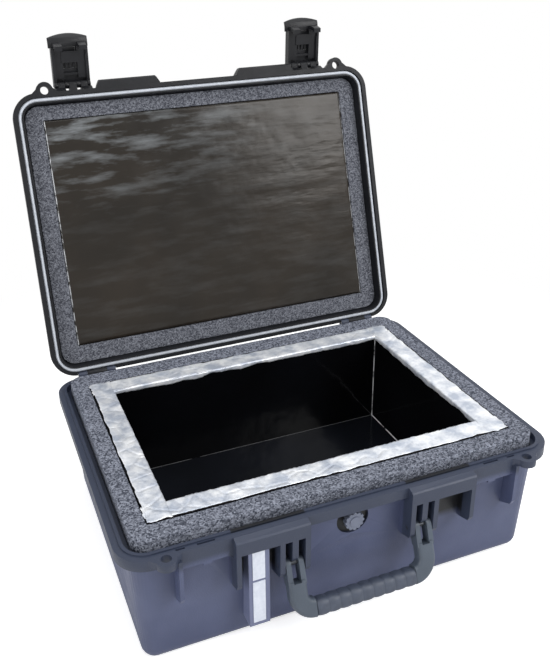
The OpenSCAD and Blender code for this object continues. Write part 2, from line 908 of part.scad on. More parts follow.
// Lip that flares away from the case, with a bowed end
module latch_lip() {
    intersection() {
        translate([0, -latch_back - lip_r + 0.3, tray_end])
            difference() {
                x_bar(-lip_half, lip_half, lip_r + 2);
                x_bar(-lip_half - 1, lip_half + 1, lip_r);
            }
        translate([0, 0, -latch_len + bow_r])
            rotate([90, 0, 0])
                cylinder(r = bow_r, h = 100, center = true);
        translate([-lip_half - 1, -latch_back - lip_r, -latch_len - 1])
            cube([2 * lip_half + 2, lip_r + latch_skin, latch_len + tray_end + 3]);
    }
}

// Latch body: a tray with side cheeks, two hooks, a flared lip and the knuckles on its pin
module latch_body(side) {
    color("#26272a")
    at_latch(side)
        difference() {
            union() {
                translate([-latch_half, -latch_back, tray_end])
                    cube([latch_w, latch_skin, 3 - tray_end]);
                latch_lip();
                for (s = [-1, 1]) {
                    translate([s * (latch_half - cheek_t / 2) - cheek_t / 2, -latch_back, tray_end])
                        cube([cheek_t, latch_back + 2, -tray_end]);
                    x_bar(s * (latch_half - cheek_t / 2) - cheek_t / 2,
                          s * (latch_half - cheek_t / 2) + cheek_t / 2, lug_r);
                    x_bar(s * knuckle_mid - knuckle_half, s * knuckle_mid + knuckle_half, lug_r);
                    translate([s * knuckle_mid - knuckle_half, -latch_back, -4.5])
                        cube([2 * knuckle_half, latch_back, 7]);
                    // Thick side beside the button
                    translate([s * (latch_half + button_half - 1) / 2, -latch_back / 2 - 0.5, tray_end / 2 - 4])
                        cube([latch_half - button_half - 3, latch_back - 1, -tray_end - 8], center = true);
                    // Hook under the strike
                    intersection() {
                        translate([s * hook_mid, 2, -hook_r - 2])
                            cube([hook_out - hook_in, 22, 9], center = true);
                        x_bar(-latch_half, latch_half, hook_r + 4.5);
                    }
                }
                // Bars across the tray, above and below the button
                translate([-button_half - 3, -latch_back, button_top + 5])
                    cube([2 * button_half + 6, latch_back - 2, 3]);
                translate([-button_half - 3, bar_y, button_bottom + 4])
                    cube([2 * button_half + 6, -bar_y, 14]);
            }
            // Upper side of the hooks, an arc about the pin
            for (s = [-1, 1])
                translate([s * hook_mid, 0, 0])
                    intersection() {
                        x_bar(-6, 6, hook_r);
                        translate([0, 5.1, -hook_r])
                            cube([hook_out - hook_in + 0.1, 11, 20], center = true);
                    }
            // Window of the button
            translate([-button_half - 0.3, -latch_back - 1, button_bottom - 0.3])
                cube([2 * button_half + 0.6, latch_skin + 2, button_top - button_bottom + 0.6]);
            x_bar(-latch_half - 1, latch_half + 1, latch_bore_r);
        }
}

module latch_button(side) {
    color("#2f3033")
    at_latch(side) {
        translate([-button_half, -latch_back - button_proud, button_bottom])
            cube([2 * button_half, latch_skin, button_top - button_bottom]);
        // Ribs on the back of the button
        for (x = [-5, 0, 5])
            translate([x - 0.8, -latch_back + latch_skin - 0.5, button_top - 7])
                cube([1.6, 2.4, 6]);
    }
}

// Leaf spring behind the button, held at its root on the cross bar
module latch_spring(side) {
    color("#a5a7aa")
    at_latch(side) {
        translate([-3, leaf_y, leaf_z])
            cube([6, 0.5, 12]);
        translate([-3, leaf_y, leaf_z])
            cube([6, bar_y - leaf_y, 0.8]);
    }
}

module latch_pin(side) {
    color("#8f9296")
    at_latch(side)
        x_bar(-latch_half + 0.3, latch_half - 0.3, latch_pin_r);
}

module left_latch_body() {
    latch_body(-1);
}

module left_latch_button() {
    latch_button(-1);
}

module left_latch_spring() {
    latch_spring(-1);
}

module left_latch_pin() {
    latch_pin(-1);
}

module right_latch_body() {
    latch_body(1);
}

module right_latch_button() {
    latch_button(1);
}

module right_latch_spring() {
    latch_spring(1);
}

module right_latch_pin() {
    latch_pin(1);
}

tub();
tub_foam();
floor_panel();
front_panel();
back_panel();
left_panel();
right_panel();
front_tape();
back_tape();
left_tape();
right_tape();
valve_body();
valve_seal();
valve_nut();
valve_membrane();
valve_knob();
label_plate();
upper_label_card();
lower_label_card();
handle_frame();
handle_grip();
handle_pins();
hinge_pins();
lid_shell();
lid_seal();
lid_foam();
lid_panel();
left_latch_body();
left_latch_button();
left_latch_spring();
left_latch_pin();
right_latch_body();
right_latch_button();
right_latch_spring();
right_latch_pin();
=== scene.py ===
"""Looks of a specimen transport box: a moulded carrying case with foam and vacuum panels inside."""
import json
import math

import bpy
import numpy as np
from mathutils import Matrix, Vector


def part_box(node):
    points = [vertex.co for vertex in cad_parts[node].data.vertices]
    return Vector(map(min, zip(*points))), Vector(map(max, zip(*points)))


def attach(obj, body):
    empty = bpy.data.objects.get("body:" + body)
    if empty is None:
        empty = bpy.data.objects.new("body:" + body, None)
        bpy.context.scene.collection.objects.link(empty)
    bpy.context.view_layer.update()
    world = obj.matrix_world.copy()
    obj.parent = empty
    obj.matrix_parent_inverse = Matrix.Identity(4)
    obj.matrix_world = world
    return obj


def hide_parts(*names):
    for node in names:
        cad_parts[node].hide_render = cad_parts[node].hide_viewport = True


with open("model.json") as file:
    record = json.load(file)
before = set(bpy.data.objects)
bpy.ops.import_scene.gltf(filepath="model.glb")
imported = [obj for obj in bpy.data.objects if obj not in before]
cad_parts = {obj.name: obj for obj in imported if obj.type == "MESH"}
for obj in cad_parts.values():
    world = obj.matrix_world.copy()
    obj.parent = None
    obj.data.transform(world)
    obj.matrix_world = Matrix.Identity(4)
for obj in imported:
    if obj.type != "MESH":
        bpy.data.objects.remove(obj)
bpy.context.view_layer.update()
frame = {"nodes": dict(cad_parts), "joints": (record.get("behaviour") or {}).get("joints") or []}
scene = bpy.context.scene

# The tub
# One injection-moulded shell of polypropylene with a fine spark-eroded grain. Its rim, brackets,
# ears and hinge knuckles are part of the same moulding. Their edges are rounded by the mould.


def linear(hex_colour):
    """An sRGB hex colour as linear RGBA: the standard curve, channel by channel."""
    channels = [int(hex_colour[i:i + 2], 16) / 255 for i in (1, 3, 5)]
    return [c / 12.92 if c <= 0.04045 else ((c + 0.055) / 1.055) ** 2.4 for c in channels] + [1.0]


def add(tree, kind, inputs=None, out=0, **settings):
    """Adds one shader node, sets its properties, fills or links its inputs, and gives an output.

    An input is a socket to link, a hex colour or a value. out is an output's place or name, or a
    slice for several. A node without outputs gives none.
    """
    made = tree.nodes.new("ShaderNode" + kind)
    for key, value in settings.items():
        setattr(made, key, value)
    for key, value in (inputs or {}).items():
        if isinstance(value, bpy.types.NodeSocket):
            tree.links.new(value, made.inputs[key])
        else:
            made.inputs[key].default_value = linear(value) if isinstance(value, str) else value
    return made.outputs[out] if len(made.outputs) else None


def start_material(name):
    """An empty material, its node tree, and the object coordinates that its patterns use."""
    made = bpy.data.materials.new(name)
    made.use_nodes = True
    tree = made.node_tree
    tree.nodes.clear()
    return made, tree, add(tree, "TexCoord", out="Object")


def finish_material(tree, inputs, height, strength, depth):
    """Ends a tree: a bump whose full height is depth metres, one principled shader, the output."""
    normal = add(tree, "Bump", {"Height": height, "Strength": strength, "Distance": depth})
    shader = add(tree, "BsdfPrincipled", {**inputs, "Normal": normal})
    add(tree, "OutputMaterial", {"Surface": shader})


def speckle(tree, coords, size, detail=2.0, rough=0.5, low=0.3, high=0.7):
    """Noise whose grains are about size metres across, spread from 0 at low to 1 at high."""
    noise = add(tree, "TexNoise", {"Vector": coords, "Scale": 1 / size, "Detail": detail,
                                   "Roughness": rough})
    return add(tree, "MapRange", {"Value": noise, "From Min": low, "From Max": high})


def mottled(tree, coords, first, second, size, **grain):
    """A colour that drifts between two tones as a speckle of that size and grain does."""
    share = speckle(tree, coords, size, **grain)
    return add(tree, "Mix", {"Factor": share, 6: first, 7: second}, out=2, data_type="RGBA")


def moulded_plastic(name, colour, shaded, rough, sheen=0.4, zones=None):
    """Moulded plastic: two tones in soft clouds of 50 mm, under a fine grain that breaks the gloss.

    The mould's real grain is about 0.1 mm. It is drawn at 1.2 mm, so that it shows. Where a piece
    has zones of other colours, zones lays them over the two tones.
    """
    made, tree, coords = start_material(name)
    tone = mottled(tree, coords, colour, shaded, 0.05, detail=3)
    if zones:
        tone = zones(tree, coords, tone)
    shine = add(tree, "MapRange", {"Value": speckle(tree, coords, 0.02),
                                   "To Min": rough - 0.04, "To Max": rough + 0.05})
    finish_material(tree, {"Base Color": tone, "Roughness": shine, "IOR": 1.49,
                           "Specular IOR Level": sheen},
                    speckle(tree, coords, 0.0012, detail=4), strength=0.35, depth=0.0003)
    return made


def painted_shade_on_tub(tree, coords, tone):
    """Painted shade on the tub: its rim and brackets greyer than its wall, and two kinds of hollow
    painted dark.

    Each mask goes from 0 to 1 between two places in metres. The zone painted greyer as shade is the
    rim, or what stands before the wall between the brackets' outer ends. The hollows, painted near
    black as shade, are the valve's recess and the middle of each bracket above its lower edge, and
    only what lies behind the brackets' faces.
    """
    pocket_middle, valve_axis = 0.0958, (0, 0, 0.115)
    x, y, z = add(tree, "SeparateXYZ", {"Vector": coords}, out=slice(3))
    side = add(tree, "Math", {0: x}, operation="ABSOLUTE")
    aside = add(tree, "Math", {0: side, 1: pocket_middle}, operation="SUBTRACT")
    aside = add(tree, "Math", {0: aside}, operation="ABSOLUTE")
    on_face = add(tree, "CombineXYZ", {"X": x, "Z": z})
    from_valve = add(tree, "VectorMath", {0: on_face, 1: valve_axis}, out="Value",
                     operation="DISTANCE")
    rim, forward, inboard, recess, pocket, above, behind, in_front = (
        add(tree, "MapRange", {"Value": value, "From Min": start, "From Max": end},
            interpolation_type=kind)
        for value, start, end, kind in (
            (z, 0.124, 0.134, "SMOOTHSTEP"),         # higher than the wall
            (y, -0.171, -0.174, "SMOOTHSTEP"),       # before the wall
            (side, 0.142, 0.138, "LINEAR"),          # within the brackets' outer ends
            (from_valve, 0.0182, 0.0178, "LINEAR"),  # within the recess's radius of 18 mm
            (aside, 0.0388, 0.0384, "LINEAR"),       # within the width between a bracket's ends
            (z, 0.080, 0.090, "LINEAR"),             # higher than a bracket's lower edge
            (y, -0.1745, -0.1735, "LINEAR"),         # behind the brackets' faces
            (y, -0.15, -0.156, "LINEAR")))           # on the front of the tub
    bracket = add(tree, "Math", {0: forward, 1: inboard}, operation="MULTIPLY")
    painted_rim_shade = add(tree, "Math", {0: rim, 1: bracket}, operation="MAXIMUM")
    pocket = add(tree, "Math", {0: pocket, 1: above}, operation="MULTIPLY")
    hollow = add(tree, "Math", {0: recess, 1: pocket}, operation="MAXIMUM")
    at_wall = add(tree, "Math", {0: in_front, 1: behind}, operation="MULTIPLY")
    painted_hollow_shade = add(tree, "Math", {0: hollow, 1: at_wall}, operation="MULTIPLY")
    # Painted shade: a greyer tone on the rim and brackets, a near black in the hollows.
    for share, colour in ((painted_rim_shade, "#333a4c"), (painted_hollow_shade, "#0a0c12")):
        tone = add(tree, "Mix", {"Factor": share, 6: tone, 7: colour}, out=2, data_type="RGBA")
    return tone


def paint(names, material):
    """Gives one material to CAD nodes."""
    for name in names:
        slots = frame["nodes"][name].data.materials
        slots.clear()
        slots.append(material)


def soften(names, width, steps=2):
    """Rounds the sharp edges of CAD nodes: their loose triangles are joined, then bevelled."""
    for name in names:
        piece = frame["nodes"][name]
        weld = piece.modifiers.new("joined", "WELD")
        weld.merge_threshold = 0.00001
        bevel = piece.modifiers.new("rounded edges", "BEVEL")
        bevel.width = width
        bevel.segments = steps
        bevel.limit_method = "ANGLE"
        bevel.angle_limit = math.radians(38)
        bevel.use_clamp_overlap = True
        bevel.miter_outer = "MITER_ARC"


# The tub's rim and bracket fronts carry painted shade, and its valve recess and bracket pockets are
# painted near black as shade.
paint(["tub"], moulded_plastic("moulded polypropylene, tub", "#454c68", "#515874", rough=0.42,
                               zones=painted_shade_on_tub))
soften(["tub"], width=0.0006)

# The label plate
# A thin moulded plate that stands in front of the tub beside the left bracket, with two blank
# white cards stuck to it.


def label_card_stock():
    """Coated white card: nearly flat, with a faint mottle of 4 mm and a soft shine."""
    made, tree, coords = start_material("coated card")
    tone = mottled(tree, coords, "#dadfea", "#cdd3e0", 0.004, detail=3)
    finish_material(tree, {"Base Color": tone, "Roughness": 0.38},
                    speckle(tree, coords, 0.006), strength=0.2, depth=0.0002)
    return made


paint(["label_plate"],
      moulded_plastic("moulded polypropylene, label plate", "#666c88", "#717793", rough=0.4))
soften(["label_plate"], width=0.0005)
paint(["upper_label_card", "lower_label_card"], label_card_stock())

# The purge valve
# A small black moulded body through the front wall, with a toothed knob in a paler grey on it,
# a rubber seal under its flange, and a breathing membrane inside.


def rubber(name, colour, shaded, rough=0.6):
    """Moulded rubber: two close tones in small clouds of 6 mm and a faint 2 mm unevenness."""
    made, tree, coords = start_material(name)
    tone = mottled(tree, coords, colour, shaded, 0.006, detail=4)
    finish_material(tree, {"Base Color": tone, "Roughness": rough, "IOR": 1.5},
                    speckle(tree, coords, 0.002, detail=3), strength=0.25, depth=0.0002)
    return made


paint(["valve_body", "valve_nut"],
      moulded_plastic("moulded nylon, valve body", "#2a2c32", "#34363d", rough=0.38))
paint(["valve_knob"],
      moulded_plastic("moulded nylon, valve knob", "#626878", "#6f7587", rough=0.4))
soften(["valve_knob", "valve_body"], width=0.0004)
paint(["valve_seal"], rubber("black rubber", "#17181a", "#222326"))
paint(["valve_membrane"], rubber("white membrane", "#d9dad6", "#c9cac6", rough=0.8))

# The pins
# Plain drawn steel rods, in the hinges, in the handle's forks and in the latches. The leaf springs
# behind the release buttons are of the same steel, and the handle's rods are blackened.


def drawn_steel(name, colour="#b9bbbf", metallic=1.0):
    """Drawn steel: lines 0.3 mm wide and fifty times as long, along the rod, which lies along X."""
    made, tree, coords = start_material(name)
    along = add(tree, "Mapping", {"Vector": coords, "Scale": (0.02, 1, 1)})
    lines = speckle(tree, along, 0.0003)
    shine = add(tree, "MapRange", {"Value": lines, "To Min": 0.25, "To Max": 0.42})
    finish_material(tree, {"Base Color": colour, "Metallic": metallic, "Roughness": shine},
                    lines, strength=0.15, depth=0.0001)
    return made


paint(["hinge_pins", "left_latch_pin", "right_latch_pin", "left_latch_spring",
       "right_latch_spring"], drawn_steel("drawn steel"))
paint(["handle_pins"], drawn_steel("black oxide steel", "#3c3f45", metallic=0.5))

# The vacuum panels in the tub
# Flat boards sealed in a black barrier film. The film is glossy and a little wavy. Where two boards
# meet, a foil edge shows, painted bright as a glint.


def barrier_film(name, seams=(), rough=0.1, colour="#060607", shaded="#0a0b0e"):
    """Black barrier film: glossy near black in clouds of 90 mm, with low waves 45 mm apart.

    Each seam is an axis, a place on it in metres and a strength. Foil shows there as a thin line,
    painted bright as a glint and broken up by a speckle.
    """
    made, tree, coords = start_material(name)
    broken = speckle(tree, coords, 0.03, detail=4, rough=0.6, low=0.37, high=0.46)
    tone = mottled(tree, coords, colour, shaded, 0.09, detail=3)
    for axis, place, strength in seams:
        at = add(tree, "SeparateXYZ", {"Vector": coords}, out=axis)
        away = add(tree, "Math", {0: at, 1: place}, operation="SUBTRACT")
        away = add(tree, "Math", {0: away}, operation="ABSOLUTE")
        line = add(tree, "MapRange", {"Value": away, "From Min": 0.0011, "From Max": 0.0005,
                                      "To Max": strength})
        # Painted glint: the foil edge at the seam is given a near-white colour.
        glint = add(tree, "Math", {0: line, 1: broken}, operation="MULTIPLY")
        tone = add(tree, "Mix", {"Factor": glint, 6: tone, 7: "#e6e7ea"}, out=2,
                   data_type="RGBA")
    finish_material(tree, {"Base Color": tone, "Roughness": rough, "IOR": 1.5,
                           "Specular IOR Level": 0.3},
                    speckle(tree, coords, 0.045), strength=0.3, depth=0.001)
    return made


cavity_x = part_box("right_panel")[0][0]
cavity_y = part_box("back_panel")[0][1]
cavity_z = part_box("floor_panel")[1][2]
paint(["front_panel", "left_panel"], barrier_film("black barrier film"))
# Painted glints of foil run along the back and right walls' seams and along the floor's right seam.
paint(["back_panel"], barrier_film("black barrier film, back wall",
                                   [("X", cavity_x, 0.9), ("Z", cavity_z, 0.25)]))
paint(["right_panel"], barrier_film("black barrier film, right wall",
                                    [("Y", cavity_y, 0.9), ("Z", cavity_z, 0.9)]))
# Painted sheen: the floor's film is given a lighter blue-black than the same film on the walls.
paint(["floor_panel"], barrier_film("black barrier film, floor", [("X", cavity_x, 0.9)],
                                    rough=0.16, colour="#0d0f13", shaded="#14161c"))

# The tub's foam
# A ring of open-cell foam, cut from sheet, that stands above the rim. Its cut faces are rough, and
# its upper edges are a little worn. Below the rim the tub's wall hides it, so it ends there.


def outline(half_x, half_y, radius, mid=(0, 0), side_points=150, corner_points=12):
    """Points round a rectangle with round corners, always the same number in the same order.

    Each quarter is an arc about its corner's centre, then the straight side after it.
    """
    signs = np.array([(1, 1), (-1, 1), (-1, -1), (1, -1)])
    centres = np.array(mid) + signs * (half_x - radius, half_y - radius)
    shares = np.linspace(0, 1, side_points + 2)[1:-1, None]
    points = []
    for quarter in range(4):
        turn = (quarter + np.linspace(0, 1, corner_points)) * math.pi / 2
        spoke = radius * np.stack([np.cos(turn), np.sin(turn)], 1)
        arc = centres[quarter] + spoke
        end = centres[(quarter + 1) % 4] + spoke[-1]
        points += [arc, arc[-1] + (end - arc[-1]) * shares]
    return np.concatenate(points)


def between(inner, outer, profile):
    """A surface round two outlines: each profile point is (share from inner to outer, height)."""
    share = profile[:, 0][:, None, None]
    flat = inner[None] * (1 - share) + outer[None] * share
    height = np.broadcast_to(profile[:, 1][:, None, None], flat.shape[:2] + (1,))
    return np.concatenate([flat, height], 2)


def surface_normals(grid):
    """Unit normals of a grid closed both ways: the step across rows crossed with the one along."""
    along = np.roll(grid, -1, 1) - np.roll(grid, 1, 1)
    across = np.roll(grid, -1, 0) - np.roll(grid, 1, 0)
    normal = np.cross(across, along)
    return normal / np.maximum(np.linalg.norm(normal, axis=2, keepdims=True), 1e-12)


def mesh_from_grid(name, grid, close_rows=False, close_columns=False):
    """A mesh of four-sided faces over a grid of points, closed along a direction on request."""
    rows, columns = grid.shape[:2]
    index = np.arange(rows * columns).reshape(rows, columns)
    below = np.roll(index, -1, 0) if close_rows else index[1:]
    here = index if close_rows else index[:-1]
    if close_columns:
        faces = np.stack([here, np.roll(here, -1, 1), np.roll(below, -1, 1), below], 2)
    else:
        faces = np.stack([here[:, :-1], here[:, 1:], below[:, 1:], below[:, :-1]], 2)
    mesh = bpy.data.meshes.new(name)
    mesh.from_pydata(grid.reshape(-1, 3).tolist(), [], faces.reshape(-1, 4).tolist())
    mesh.polygons.foreach_set("use_smooth", np.full(len(mesh.polygons), True))
    mesh.update()
    piece = bpy.data.objects.new(name, mesh)
    scene.collection.objects.link(piece)
    return piece


def fold_profile(points, step):
    """A closed profile through corner points, refilled so that points are about a step apart."""
    filled = []
    for start, end in zip(points, np.roll(points, -1, 0)):
        count = max(1, int(round(np.linalg.norm(end - start) / step)))
        filled.append(start + (end - start) * (np.arange(count) / count)[:, None])
    return np.concatenate(filled)


def smooth_noise(shape, cell, seed):
    """Heights from -1 to 1 that change over cell grid steps: white noise under a round blur."""
    heights = np.random.default_rng(seed).normal(size=shape)
    rows = np.fft.fftfreq(shape[0])[:, None]
    columns = np.fft.fftfreq(shape[1])[None]
    blur = np.exp(-2 * (math.pi * cell) ** 2 * (rows ** 2 + columns ** 2) / 4)
    heights = np.real(np.fft.ifft2(np.fft.fft2(heights) * blur))
    return heights / np.abs(heights).max()


def open_cell_foam(name, light, dark, cell):
    """Cut open-cell foam: light cell walls and dark holes, dull, each cell with a grey of its own.

    The share of the light tone is the cell's grey times one more than a cloud. The surface rises
    with that share and falls with the distance from the cell's middle. Real cells of about half a
    millimetre wouldn't show, so a cell is drawn two to three times as large.
    """
    made, tree, coords = start_material(name)
    from_middle, own = add(tree, "TexVoronoi", {"Vector": coords, "Scale": 1 / cell},
                           out=slice(2))
    grey = add(tree, "SeparateColor", {"Color": own})
    cloud = speckle(tree, coords, cell * 2.2, detail=4, rough=0.7, low=0.32, high=0.68)
    clouded = add(tree, "Math", {0: grey, 1: cloud, 2: grey}, operation="MULTIPLY_ADD")
    share = add(tree, "MapRange", {"Value": clouded, "From Min": 0.1, "From Max": 1.5})
    tone = add(tree, "Mix", {"Factor": share, 6: dark, 7: light}, out=2, data_type="RGBA")
    rise = add(tree, "Math", {0: share, 1: from_middle}, operation="SUBTRACT")
    finish_material(tree, {"Base Color": tone, "Roughness": 0.92, "Specular IOR Level": 0.1},
                    rise, strength=0.8, depth=0.0009)
    return made


def foam_ring(name, inner, outer, bottom, top, edge, seed):
    """A closed foam ring whose top edges are rounded and whose skin is uneven by a few tenths.

    Its section goes up the inner side, over the top and down the outer side, with a quarter circle
    at each top edge. Every point then sinks along its normal: by a fine noise for the cut cells
    and by a wide one for the wear.
    """
    point_gap, cut_depth, wear_depth = 0.0016, 0.00028, 0.00025
    width = np.linalg.norm(outer - inner, axis=1).mean()
    bend = np.linspace(0, math.pi / 2, 5)
    right = np.stack([width - edge + edge * np.sin(bend), top - edge + edge * np.cos(bend)], 1)
    left = np.stack([edge - edge * np.cos(bend), top - edge + edge * np.sin(bend)], 1)
    corners = np.concatenate([[[0, bottom]], left, right, [[width, bottom]]])
    profile = fold_profile(corners, point_gap)
    profile[:, 0] /= width
    grid = between(inner, outer, profile)
    normal = surface_normals(grid)
    cut = smooth_noise(grid.shape[:2], 1.2, seed)[..., None]
    worn = smooth_noise(grid.shape[:2], 14, seed + 1)[..., None]
    grid = grid - normal * (cut_depth * (1 + cut) + wear_depth * (1 + worn))
    return mesh_from_grid(name, grid[::-1], close_rows=True, close_columns=True)


pack_low, pack_high = np.array(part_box("floor_panel"))
pack_mid, pack_half = (pack_low + pack_high)[:2] / 2, (pack_high - pack_low)[:2] / 2
foam_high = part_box("tub_foam")[1]
foam_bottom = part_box("label_plate")[1][2] + 0.008
foam_gap = 0.0004
tub_foam = foam_ring("tub_foam_ring",
                     outline(*(pack_half + foam_gap), radius=0.001, mid=pack_mid),
                     outline(*foam_high[:2], radius=0.016),
                     bottom=foam_bottom, top=foam_high[2], edge=0.0016, seed=11)
tub_foam.data.materials.append(
    open_cell_foam("open-cell foam, tub", "#989dab", "#40444f", cell=0.0016))
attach(tub_foam, "case")
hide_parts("tub_foam")

# The foil tape round the cavity
# Four strips of aluminium tape over the tops of the wall panels. They are creased by hand, torn at
# the ends, lap over each other at the corners, and fold a few millimetres down into the cavity.


def creased_foil(name):
    """Aluminium tape rubbed down by hand: pale blue-grey patches with soft creases 22 mm apart.

    The surface rises from each crease and with a finer crumple of 16 mm, which also sets the shine.
    """
    made, tree, coords = start_material(name)
    from_crease = add(tree, "TexVoronoi", {"Vector": coords, "Scale": 45.0},
                      feature="DISTANCE_TO_EDGE")
    creases = add(tree, "MapRange", {"Value": from_crease, "From Min": 0.0, "From Max": 0.12})
    crumple = speckle(tree, coords, 0.016, detail=3, rough=0.55)
    rise = add(tree, "Math", {0: creases, 1: crumple}, operation="ADD")
    shine = add(tree, "MapRange", {"Value": crumple, "To Min": 0.3, "To Max": 0.5})
    patches = mottled(tree, coords, "#f6f8fb", "#b7bfcd", 0.02, detail=4, rough=0.62, low=0.36,
                      high=0.64)
    finish_material(tree, {"Base Color": patches, "Metallic": 0.4, "Roughness": shine},
                    rise, strength=0.35, depth=0.001)
    return made


def tape_strip(name, start, end, width_way, width, lip, base, seed):
    """A strip of foil: flat over the panel, then folded down by the lip at its inner edge.

    start and end are the ends of the outer edge, and width_way points to the cavity. A point's
    reach goes evenly from the outer edge, which wanders by about a millimetre, to the torn end of
    the lip. What is past the panel's width hangs down. The crumple is the size of two noises, and
    a third one tears the strip's ends.
    """
    along_gap, across_gap, set_back, crumple_height = 0.0016, 0.0014, 0.0012, 0.00025
    length = np.linalg.norm(end - start)
    along, across = int(length / along_gap), int((width + lip) / across_gap)
    travel = np.linspace(0, 1, along)[:, None]
    share = np.linspace(0, 1, across)[None]
    outer = (set_back + 0.0011 * smooth_noise((along, 1), 5, seed)
             + 0.0005 * smooth_noise((along, 1), 1, seed + 1))
    torn = (0.35 * smooth_noise((along, 1), 9, seed + 2)
            + 0.12 * smooth_noise((along, 1), 1.2, seed + 3))
    end_tear = 0.0016 * smooth_noise((1, across), 2, seed + 4)
    crumple = (np.abs(smooth_noise((along, across), 7, seed + 5))
               + 0.3 * np.abs(smooth_noise((along, across), 3, seed + 6)))
    reach = outer + (width + lip * (0.9 + torn) - outer) * share
    flat, down = np.minimum(reach, width), np.maximum(reach - width, 0)
    off_panel = (down > 0) * (0.0005 + 0.0003 * crumple)
    grid = np.empty((along, across, 3))
    grid[..., :2] = (start + (end - start) * travel[..., None]
                     + (end - start) / length * (end_tear * (2 * travel - 1))[..., None]
                     + width_way * (flat + off_panel)[..., None])
    grid[..., 2] = base + crumple_height * crumple - down
    return mesh_from_grid(name, grid)


foil = creased_foil("aluminium tape")
panel_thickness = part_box("left_panel")[1][0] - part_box("left_panel")[0][0]
tape_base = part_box("front_tape")[0][2] + 0.00012
tape_layer, tape_lip = 0.0003, 0.006
(x_left, y_front), (x_right, y_back) = pack_low[:2], pack_high[:2]
for side, start, end, way, layer, seed in (
        ("front", (x_left, y_front), (x_right, y_front), (0, 1), 0, 21),
        ("back", (x_right, y_back), (x_left, y_back), (0, -1), 0, 31),
        ("left", (x_left, y_back), (x_left, y_front), (1, 0), 1, 41),
        ("right", (x_right, y_front), (x_right, y_back), (-1, 0), 1, 51)):
    strip = tape_strip("foil_tape_" + side, np.array(start), np.array(end), np.array(way),
                       panel_thickness, tape_lip, tape_base + tape_layer * layer, seed)
    thick = strip.modifiers.new("foil thickness", "SOLIDIFY")
    thick.thickness = 0.00008
    thick.offset = 0
    strip.data.materials.append(foil)
    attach(strip, "case")
    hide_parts(side + "_tape")

# The handle
# A frame moulded in grey polypropylene that hangs from two forked arms, with a soft grip moulded
# round its bar. The grip has rounded pads, one beside the other, for the fingers.
paint(["handle_frame"],
      moulded_plastic("moulded polypropylene, handle", "#444c57", "#4f5864", rough=0.4))
soften(["handle_frame"], width=0.0016, steps=3)


def ribbed_grip(name, low, high, tilt, half=0.009, pitch=0.0122, depth=0.0012):
    """A grip of rounded pads. Round the bar its section is a superellipse of power 3.

    Along the bar the section shrinks to a groove between two pads: by depth times one less the root
    of the size of the pads' sine. The first and last rows shrink to almost nothing, as end caps.
    """
    rows, columns, cap = 340, 56, 0.02
    middle, length = (np.array(low) + high) / 2, high[0] - low[0]
    along = np.linspace(0, length, rows)
    turn = np.linspace(0, 2 * math.pi, columns, endpoint=False)
    count = round(length / pitch)
    groove = depth * (1 - np.sqrt(np.abs(np.sin(math.pi * count * along / length))))
    section = (np.abs(np.cos(turn)) ** 3 + np.abs(np.sin(turn)) ** 3) ** (-1 / 3) * half
    radius = section[None] - groove[:, None]
    radius = np.concatenate([radius[:1] * cap, radius, radius[-1:] * cap])
    x = np.concatenate([along[:1], along, along[-1:]])[:, None] - length / 2
    across, down = radius * np.cos(turn), radius * np.sin(turn)
    y = across * math.cos(tilt) - down * math.sin(tilt)
    z = -across * math.sin(tilt) - down * math.cos(tilt)
    grid = np.stack([np.broadcast_to(x, y.shape), y, z], 2) + middle
    return mesh_from_grid(name, grid, close_columns=True)


grip = ribbed_grip("ribbed_handle_grip", *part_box("handle_grip"), tilt=math.radians(20))
grip.data.materials.append(rubber("soft grip rubber", "#3b4250", "#454c5b", rough=0.5))
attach(grip, "handle")
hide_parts("handle_grip")

# The lid shell
# The second large moulding, in the same polypropylene, with the seal's channel, latch lugs and
# the raised blocks at its front edge. A cord of pale silicone lies in the channel.
paint(["lid_shell"], moulded_plastic("moulded polypropylene, lid", "#141518", "#1d1e22",
                                     rough=0.42, sheen=0.22))
soften(["lid_shell"], width=0.0006)
paint(["lid_seal"], rubber("pale silicone seal", "#d0d5de", "#bcc2cc", rough=0.5))

# The lid's foam
# A frame of finer foam that holds the lid's panel, set back behind the seal. It is worked out as on
# the shut lid, upside down, then mirrored and turned open at the hinge.
hinge = next(j for j in frame["joints"] if j["name"] == "lid_hinge")
lid_turn = math.radians(hinge["range_deg"][1])
hinge_at = np.array(hinge["pos_m"])


def about_hinge(points, angle):
    """Points turned by an angle about the lid's hinge, which lies along X."""
    c, s = math.cos(angle), math.sin(angle)
    x, y, z = np.moveaxis(points - hinge_at, -1, 0)
    return np.stack([x, y * c - z * s, y * s + z * c], -1) + hinge_at


def points_of(mesh):
    """A mesh's points as an array, with one row for each point."""
    points = np.empty(len(mesh.vertices) * 3)
    mesh.vertices.foreach_get("co", points)
    return points.reshape(-1, 3)


def shut_box(name):
    """The lowest and highest corner of a node of the lid, as on the shut lid."""
    shut = about_hinge(points_of(frame["nodes"][name].data), lid_turn)
    return shut.min(0), shut.max(0)


film_low, film_high = shut_box("lid_panel")
film_mid, film_half = (film_low + film_high)[:2] / 2, (film_high - film_low)[:2] / 2
lid_foam_low, lid_foam_high = shut_box("lid_foam")
lid_foam_gap, backing = 0.0003, 0.012
lid_foam = foam_ring("lid_foam_frame",
                     outline(*(film_half + lid_foam_gap), radius=0.001, mid=film_mid),
                     outline(*lid_foam_high[:2], radius=0.018),
                     bottom=backing - lid_foam_high[2], top=-lid_foam_low[2], edge=0.0012,
                     seed=61)
mirrored = points_of(lid_foam.data) * np.array([1, 1, -1])
lid_foam.data.vertices.foreach_set("co", about_hinge(mirrored, -lid_turn).reshape(-1))
lid_foam.data.flip_normals()
lid_foam.data.update()
lid_foam.data.materials.append(
    open_cell_foam("open-cell foam, lid", "#83868f", "#42444c", cell=0.0014))
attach(lid_foam, "lid")
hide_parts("lid_foam")
